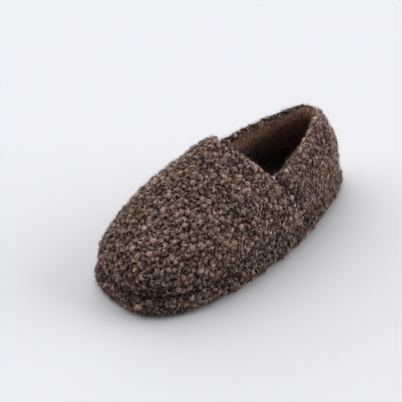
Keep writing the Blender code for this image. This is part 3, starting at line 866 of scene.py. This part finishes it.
class Pile:
    """Pile fabric: draws its locks once, then covers panel after panel with them."""

    def __init__(self, curled, ground):
        self.rng = np.random.default_rng(SEED)
        self.knots, self.tufts = [np.array([lock(self.rng, kind) for _ in range(SHAPES)])
                                  for kind in (KNOT, TUFT)]
        self.taken, self.curled, self.ground = {}, curled, ground

    def cover(self, name, node, panel, points, pieces, ring=False):
        """Ground and curls of one panel, the curls in pieces along it."""
        rng, (face, back, edge) = self.rng, panel
        belongs(sheet_mesh(name + "_ground", face, back, self.ground, name == "vamp", ring),
                "curly_pile", node)
        outside = np.concatenate([face, face[:, :1]], 1) if ring else face
        rows, columns = outside.shape[:2]
        point, normal, row, column = sample(outside, points, rng)
        normal = normal * facing(outside)
        along = column / columns if ring or name == "vamp" else row / rows
        piece = np.floor(along * pieces).astype(int)
        middle, inside = clumps(point, rng)
        sunk = normal * ((1 - inside) * CLUMP_HEIGHT)[:, None]
        point = point + (middle - point) * CLUMP_PULL - sunk
        from_edge = row - (rows - 1 - ROLL_STEPS)
        near = edge[np.minimum(np.round(row).astype(int), len(edge) - 1),
                    np.round(column).astype(int) % edge.shape[1]]
        bare = past_roll(name, PI * from_edge / ROLL_STEPS, column / (columns - 1))
        bare |= (row > rows - 2) | (near < SEAM_BARE)
        small = 0.7 + 0.3 * smooth(near, 0, SEAM_SMALL)
        # painted light: locks near a rolled edge are painted lighter
        painted_edge_light = smooth(from_edge, -3, ROLL_STEPS * EDGE_PAINTED_LIGHT_REACH)
        painted_edge_light = EDGE_PAINTED_LIGHT * painted_edge_light * (name != "band")
        flat = bare | (from_edge < -2) | (not name.startswith("quarter"))
        groups = [[] for _ in range(pieces)]
        for shapes, spacing, tilt, skip in ((self.knots, KNOT_SPACING, KNOT_TILT, bare),
                                            (self.tufts, TUFT_SPACING, TUFT_TILT, bare),
                                            (self.tufts, EDGE_SPACING, TUFT_TILT, flat)):
            kept = np.nonzero(~skip)[0]
            kept = kept[keep_apart(point[kept], spacing, self.taken)]
            for k, group in enumerate(groups):
                mine = kept[piece[kept] == k]
                if not len(mine):
                    continue
                size = small[mine] * rng.uniform(0.8, 1.22, len(mine))
                group.append(placed(shapes, point[mine], normal[mine], size, tilt,
                                    inside[mine], painted_edge_light[mine], rng))
                if shapes is self.knots:
                    group.append(halo(group[-1][0], np.repeat(normal[mine], KNOT[0], 0), rng))
        for k, group in enumerate(groups):
            hairs = rng.choice(np.nonzero(~bare & (piece == k))[0],
                               points // POINTS_PER_HAIR // pieces)
            group.append(fibres(point[hairs] + normal[hairs] * TOP_START, normal[hairs],
                                TOP_LENGTH, HAIR_WIDTH, rng, 0.6))
            belongs(joined(f"{name}_pile_{k + 1}", group, self.curled), "curly_pile", node)


def facing(face):
    """1 if a grid's sampled normals point away from the middle of the slipper, or else -1."""
    i, j = face.shape[0] // 3, face.shape[1] // 4
    normal = np.cross(face[i, j + 1] - face[i, j], face[i + 1, j] - face[i, j])
    return 1 if normal @ (face[i, j] - MIDDLE) > 0 else -1


# ---------- lining

def plush_wave(grid):
    return PLUSH_WAVE * lumps(upper(*grid), PLUSH_WAVE_SIZE, SEED + 5)


def quarter_lining(side):
    """Plush wall of the rear part, climbing onto the roll as it nears the heel."""
    grid = quarter_grid(side, columns=60, rows=40, end=1 - ROLL_SHARE)
    end = roll_end(np.linspace(0, 1, grid[0].shape[1]), side)
    share = np.linspace(0, 1, COLLAR_STEPS)[1:, None]
    walls = []
    for depth, offset in ((LINING[1] + plush_wave(grid), LINING[1] - LINING[0]),
                          (LINING[0], 0.0003)):
        above = offset * (1 - COLLAR_TAPER * share[..., None])
        wall = layer(grid, depth)[2:]
        wall[:, -1, 0] = upper(*grid)[2:, -1, 0] + side * HEEL_GAP
        walls.append(np.concatenate([wall, on_roll(grid, PI + (end - PI) * share, above)]))
    return walls


def vamp_lining():
    """Plush under the vamp, up to its seams and tapered along them and the throat."""
    grid = vamp_grid(LINING_ROWS, low=16, high=24, end=1 - THROAT_ROLL_SHARE, seam_end=1.0)
    start, taper = LINING_TAPER
    thin = taper * smooth(np.arange(LINING_ROWS + 1), start, LINING_ROWS)
    thick = (LINING[1] - LINING[0]) * (1 - thin)[:, None]
    plush = layer(grid, LINING[0] + thick + plush_wave(grid))
    return plush, layer(grid, LINING[0])


def plush_wall(name, surface, count, rng, mats, folded=False):
    plush, front = surface
    belongs(sheet_mesh(name, plush, front, mats["ground"], folded), "plush_lining", name)
    point, normal, row, _ = sample(plush, count, rng)
    hairs = fibres(point, normal * -facing(plush), PLUSH_LENGTH, PLUSH_WIDTH, rng, PLUSH_SPREAD,
                   (0, 0, -0.8))
    first, last = [len(plush) - rows for rows in PAINTED_RIM_SHADE_ROWS]
    # painted shade: the outer lining's plush is painted darker near its end
    painted_rim_shade = smooth(row, first, last)[:, None] * ("lateral" in name)
    values = hairs[1]
    values["tone"] = values["tone"] * (1 - painted_rim_shade)
    values["strand"] = values["strand"] * (1 - 0.5 * painted_rim_shade)
    belongs(joined(name + "_plush", [hairs], mats["plush"]), "plush_lining", name)


def opposite(total):
    """For each point of a plan loop, the index of the point on its other side."""
    return (total - np.arange(total)) % total


def spine(loop):
    """For each point of a plan loop, the point on the middle line that it is drawn to."""
    middle = (loop + loop[opposite(len(loop))]) / 2
    line = middle[:len(loop) // 2 + 1]
    y = middle[:, 1] * SPINE_SHARE
    return np.stack([np.interp(y, line[:, 1], line[:, 0]), y, loop[:, 2]], -1)


def slab(name, inset, box, mat, lump, dish=0.0):
    """A closed flat layer with rounded edges, as low and high as a box; its upper face has
    lumps and may be dished."""
    count = SLAB_COLUMNS
    low, high = [corner.z for corner in box]
    thickness = high - low
    loop = plan_loop(inset, 0, count)
    core = spine(loop)
    share = np.linspace(0, 1, 15)[:-1] ** 0.8 * 0.96
    corner = np.linspace(0, PI / 2, 5)
    radius = thickness * SLAB_ROUNDING
    top = low + thickness
    rows = [core + (loop - core) * f + [0, 0, top] for f in share]
    out = unit((loop - core) * [1, 1, 0])
    for a in corner:
        rows.append(loop - out * radius * (1 - np.sin(a)) + [0, 0, top - radius * (1 - np.cos(a))])
    for a in corner:
        rows.append(loop - out * radius * (1 - np.cos(a)) + [0, 0, low + radius * (1 - np.sin(a))])
    rows += [core + (loop - core) * f + [0, 0, low] for f in share[::-1]]
    points = np.array(rows)
    upper_rows = slice(0, len(share) + 1)
    wave = lump * lumps(points[upper_rows], 0.016, SEED + 6)
    fall = dish * (1 - np.concatenate([share, [1.0]])[:, None] ** 2)
    points[upper_rows, :, 2] += wave - fall
    index = np.arange(len(points) * 2 * count).reshape(len(points), 2 * count)
    for row in (0, -1):
        index[row] = np.minimum(index[row], index[row][opposite(2 * count)])
    shifted = np.roll(index, -1, axis=1)
    quads = np.stack([index[:-1], index[1:], shifted[1:], shifted[:-1]], -1).reshape(-1, 4)
    return points, closed_mesh(name, points.reshape(-1, 3), quads, mat)


def lining(mats):
    rng = np.random.default_rng(SEED + 20)
    points, sock = slab("sock_lining", SOCK_INSET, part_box("sock_lining"), mats["ground"],
                        lump=0.0003, dish=0.0006)
    belongs(sock, "plush_lining", "sock_lining")
    face = points[:SOCK_ROWS]
    point, normal, _, _ = sample(np.concatenate([face, face[:, :1]], 1), SOCK_HAIRS, rng)
    hairs = fibres(point, normal * np.sign(normal[:, 2:]), PLUSH_LENGTH, PLUSH_WIDTH, rng,
                   PLUSH_SPREAD, (0, -0.6, 0))
    belongs(joined("sock_plush", [hairs], mats["plush"]), "plush_lining", "sock_lining")
    for label, side in HALVES:
        plush_wall("quarter_lining_" + label, quarter_lining(side), QUARTER_HAIRS, rng,
                   mats)
    plush_wall("vamp_lining", vamp_lining(), VAMP_HAIRS, rng, mats, True)


# ---------- hidden layers and sewing

def padding(foam, board):
    """The soft layer between pile and lining, and the moulded stiffener at the heel."""
    def between(grid, start, stop):
        wave = 0.00015 * lumps(upper(*grid), 0.01, SEED + 8)
        return layer(grid, start - wave), layer(grid, stop + wave)

    grid = vamp_grid(rows=40, low=12, high=16, end=1 - THROAT_ROLL_SHARE * 1.8)
    wall = sheet_mesh("vamp_padding", *between(grid, *PADDING), foam, True)
    belongs(wall, "interlining_foam", "vamp_padding")
    for label, side in HALVES:
        grid = quarter_grid(side, columns=56, rows=30, end=1 - ROLL_SHARE * 1.3)
        grid = [values[2:, :PADDING_END] for values in grid]
        wall = sheet_mesh("quarter_padding_" + label, *between(grid, *PADDING), foam)
        belongs(wall, "interlining_foam", "quarter_padding_" + label)
    halves = [quarter_grid(side, columns=56, rows=30, end=COUNTER_TOP) for _, side in HALVES]
    grid = [np.concatenate([a[2:, COUNTER_START:], b[2:, -2:COUNTER_START - 1:-1]], 1)
            for a, b in zip(*halves)]
    belongs(sheet_mesh("heel_counter", *between(grid, *PADDING), board), "fibre_board",
            "heel_counter")


def insole(foam, board):
    """The layers of the platform."""
    for name, inset, slot_name, mat, lump in (
            ("footbed_foam", FOOTBED_INSET, "footbed_foam", foam, 0.0001),
            ("insole_board", BAND_THICK, "fibre_board", board, 0.0),
            ("platform_foam", BAND_THICK, "platform_foam", foam, 0.0001)):
        _, body = slab(name, inset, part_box(name), mat, lump)
        belongs(body, slot_name, name)


def stitches(name, line, normal, across, mat):
    """Slanting stitches along a seam, bedded in the valley between the panels."""
    step = np.linalg.norm(np.diff(line, axis=0), axis=1)
    along = np.concatenate([[0], np.cumsum(step)])
    at = np.arange(STITCH / 2, along[-1], STITCH)
    point, normal, across = [np.stack([np.interp(at, along, a[:, k]) for k in range(3)], -1)
                             for a in (line, normal, across)]
    ahead = unit(np.gradient(point, axis=0)) * STITCH * 0.4
    t = np.linspace(-1, 1, STITCH_POINTS)[None, :, None]
    path = point[:, None] + (across[:, None] * STITCH_WIDTH / 2 + ahead[:, None]) * t \
        - normal[:, None] * STITCH_SINK * t * t
    rng = np.random.default_rng(SEED)
    radius = np.full(STITCH_POINTS, THREAD_RADIUS)
    shapes = np.array([swept(rng, line, radius, THREAD_SIDES, 4) for line in path])
    belongs(joined(name, [tubes(shapes, STITCH_POINTS, THREAD_SIDES)], mat), "sewing_thread",
            name)


def collar_rim(side):
    """Where a quarter's lining meets its pile: the line, and its outward and cross directions."""
    grid = quarter_grid(side, columns=60, rows=40, end=1 - ROLL_SHARE)
    out, up = edge_frame(grid, UPWARD)
    end = roll_end(np.linspace(0, 1, len(out)), side)
    rim = on_roll(grid, end, COLLAR_THREAD_RISE)
    facing_out = unit(out * np.cos(end)[:, None] + up * np.sin(end)[:, None])
    return rim, facing_out, np.cross(facing_out, unit(np.gradient(rim, axis=0)))


def sewing(mat):
    phi = np.linspace(0.02, CORNER_RISE * 0.97, 40)
    for label, side in HALVES:
        seam = upper(side_seam(phi), side, phi)
        normal = upper_normal(side_seam(phi), side + 0 * phi, phi)
        across = unit(upper(side_seam(phi) + 0.01, side, phi) - seam)
        stitches("side_seam_thread_" + label, seam - normal * STITCH_DEPTH, normal, across, mat)
    s, side, phi = [a[:, -1] for a in quarter_grid(1.0, columns=4, rows=40, end=1 - ROLL_SHARE)]
    normal = upper_normal(s, side, phi)
    across = np.tile([1.0, 0, 0], (len(s), 1))
    stitches("heel_seam_thread", upper(s, side, phi) - normal * STITCH_DEPTH, normal, across, mat)
    loop = plan_loop(STITCH_DEPTH, SEAM_Z - 0.0007, 160)
    out = unit((loop - spine(loop)) * [1, 1, 0])
    loop, out = [np.concatenate([rows, rows[:1]]) for rows in (loop, out)]
    stitches("platform_seam_thread", loop, out, np.tile([0, 0, 1.0], (len(loop), 1)), mat)
    rim = [np.concatenate([a, b[::-1][1:]]) for a, b in zip(collar_rim(1.0), collar_rim(-1.0))]
    stitches("collar_seam_thread", *rim, mat)
    grid = vamp_grid(rows=40, low=16, high=24, end=1 - THROAT_ROLL_SHARE)
    out, ahead = edge_frame(grid, ONWARD)
    at = grid[2][-1] > CORNER_RISE + 0.05
    line = upper(*last_row(grid)) - out * (LINING[0] + 0.0004)
    stitches("throat_seam_thread", line[at], -out[at], ahead[at], mat)


# ---------- stage

def studio_floor():
    bpy.ops.mesh.primitive_plane_add(size=FLOOR_SIZE, location=(0, 0, FLOOR_Z))
    floor = bpy.context.object
    floor.name = "floor"
    n = Nodes("floor", 0.9, 0.0, specular=0.0)
    n.feed(n.shader, {"Base Color": (*srgb(*FLOOR_COLOUR), 1)})
    floor.data.materials.append(n.mat)


def sky():
    """A pale sky, brightest near the horizon, and on one side above it."""
    world = bpy.data.worlds.new("studio")
    n = Tree(world)
    direction = n.add("TexCoord", {}, "Generated")
    height = n.height(direction)
    stops = [(level, [v * strength for v in srgb(*SKY_COLOUR)]) for level, strength in SKY]
    towards = n.add("VectorMath", {0: direction, 1: SKY_SIDE}, "Value", operation="DOT_PRODUCT")
    strength = n.add("Math", {0: n.mapped(towards, (-1, 1), SKY_SHARES),
                              1: n.mapped(height, SKY_LEVEL), 2: 1}, "Value",
                     operation="MULTIPLY_ADD")
    n.feed(n.tree.nodes["Background"], {"Color": n.ramp(height, *stops), "Strength": strength})
    bpy.context.scene.world = world
    bpy.context.scene.view_settings.view_transform = "Standard"


def suns():
    for name, towards, spread, power in SUNS:
        sun = bpy.data.lights.new(name, "SUN")
        sun.angle = math.radians(spread)
        sun.energy = power
        in_scene(name, sun).rotation_euler = Vector(towards).to_track_quat("Z", "Y").to_euler()


def camera():
    azimuth, elevation, roll = [math.radians(a) for a in CAMERA_ANGLES]
    back = Vector((math.sin(azimuth) * math.cos(elevation),
                   -math.cos(azimuth) * math.cos(elevation), math.sin(elevation)))
    right = Vector((math.cos(azimuth), math.sin(azimuth), 0))
    up = back.cross(right)
    right, up = (right * math.cos(roll) + up * math.sin(roll),
                 up * math.cos(roll) - right * math.sin(roll))
    data = bpy.data.cameras.new("camera")
    data.lens = CAMERA_LENS
    data.clip_start = 0.01
    turn = Matrix((right, up, back)).transposed().to_4x4()
    turn.translation = Vector(CAMERA_AIM) + back * CAMERA_DISTANCE
    obj = in_scene("camera", data)
    obj.matrix_world = turn
    bpy.context.scene.camera = obj


def upper_pile():
    """The curly pile over the whole outside, panel by panel."""
    fabric = Pile(fleece("curly_pile", (27, 14, 10), (78, 62, 55), (128, 110, 101), 0.1),
                  # the knitted ground is real; its dark colour is also painted shade for the gaps
                  # between tufts
                  knit_material("pile_ground", (22, 13, 10), (42, 31, 27), 700))
    fabric.cover("vamp", "vamp_outer", vamp_ground(), points=50000, pieces=16)
    for label, side in HALVES:
        fabric.cover("quarter_" + label, "quarter_outer_" + label, quarter_ground(side),
                     points=20000, pieces=6)
    fabric.cover("band", "platform_cover", band_ground(), points=27000, pieces=8, ring=True)


def main():
    camera()
    studio_floor()
    sky()
    suns()
    upper_pile()
    lining({"plush": fleece("plush_pile", (92, 66, 54), (162, 128, 110), (214, 178, 158), 0.3,
                            DEEP_PAINTED_SHADE),
            "ground": knit_material("plush_ground", (84, 61, 50), (134, 102, 86), 500, DEEP_PAINTED_SHADE)})
    board = board_material()
    padding(foam_material("interlining_foam", (226, 220, 205), (188, 180, 160), 1500), board)
    insole(foam_material("footbed_foam", (222, 216, 202), (180, 172, 154), 1100), board)
    sewing(thread_material())
    for slot_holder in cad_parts["outsole"].material_slots:
        slot_holder.material = rubber_material()


main()
